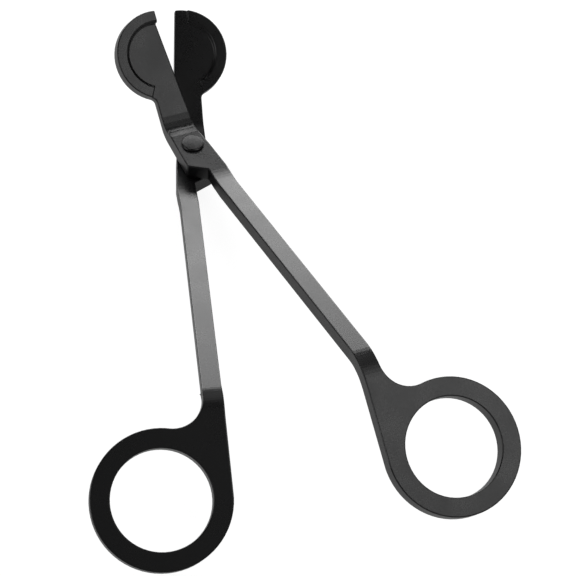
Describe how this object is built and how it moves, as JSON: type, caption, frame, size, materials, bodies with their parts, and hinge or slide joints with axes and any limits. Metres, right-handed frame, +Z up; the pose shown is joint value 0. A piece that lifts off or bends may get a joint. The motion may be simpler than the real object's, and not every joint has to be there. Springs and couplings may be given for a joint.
{
  "type": "wick trimmer",
  "caption": "Scissor-style candle wick trimmer: two bent levers on a rivet, half-round blades with a raised catch rim, and round finger rings.",
  "frame": {"origin": "centre of the footprint at table height, with the tool part open and lying on its rivet tail and on the end of the lower ring", "axes": "+Z up from the table, +Y along the tool from the finger rings to the cutting head, +X to the upper lever's finger ring"},
  "size_m": [0.1222, 0.19, 0.0318],
  "materials": {
    "coated_steel": "satin black coating",
    "rivet_steel": "satin black coating"
  },
  "bodies": {
    "lower_half": {"lower_lever": "coated_steel", "pivot_rivet": "rivet_steel", "tail_washer": "rivet_steel"},
    "upper_half": {"upper_lever": "coated_steel"}
  },
  "joints": [
    {"name": "lever_hinge", "type": "hinge", "parent": "lower_half", "child": "upper_half", "pos_m": [0, 0.0511, 0.0062], "axis": [0, 0.0941, 0.9956], "range_deg": [-15, 30]}
  ]
}
